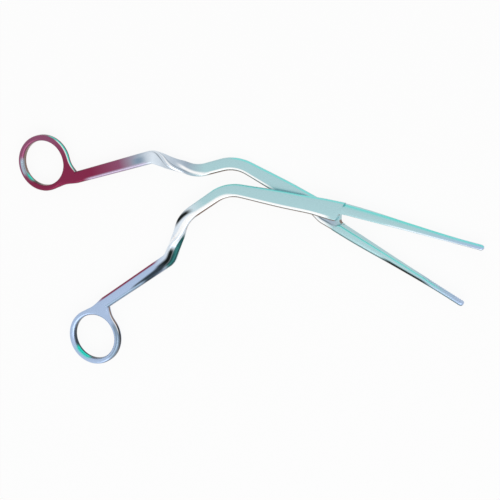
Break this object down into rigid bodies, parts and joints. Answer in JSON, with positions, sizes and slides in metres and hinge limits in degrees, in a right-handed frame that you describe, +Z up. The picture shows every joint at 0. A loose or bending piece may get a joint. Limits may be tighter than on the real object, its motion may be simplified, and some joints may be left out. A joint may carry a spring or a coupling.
{
  "type": "magill forceps",
  "caption": "Curved scissor-handled steel forceps with long slender serrated jaws, crossed at a lap joint on a slotted pivot screw.",
  "frame": {"origin": "centre of the pivot on the plane that the instrument lies on, at the underside of the lower lap", "axes": "+Z up along the pivot axis; +X along the middle line between the jaws, towards their tips; +Y towards the upper jaw in plan, the jaw of the half that crosses on top"},
  "size_m": [0.2619, 0.1541, 0.0071],
  "materials": {
    "polished_steel": "polished",
    "turned_steel": "turned"
  },
  "bodies": {
    "lower_half": {"female_half": "polished_steel"},
    "upper_half": {"male_half": "polished_steel", "pivot_screw": "turned_steel"}
  },
  "joints": [
    {"name": "pivot", "type": "hinge", "parent": "lower_half", "child": "upper_half", "pos_m": [0, 0, 0.00333], "axis": [0, 0, 1], "range_deg": [-17.8, 17]}
  ]
}
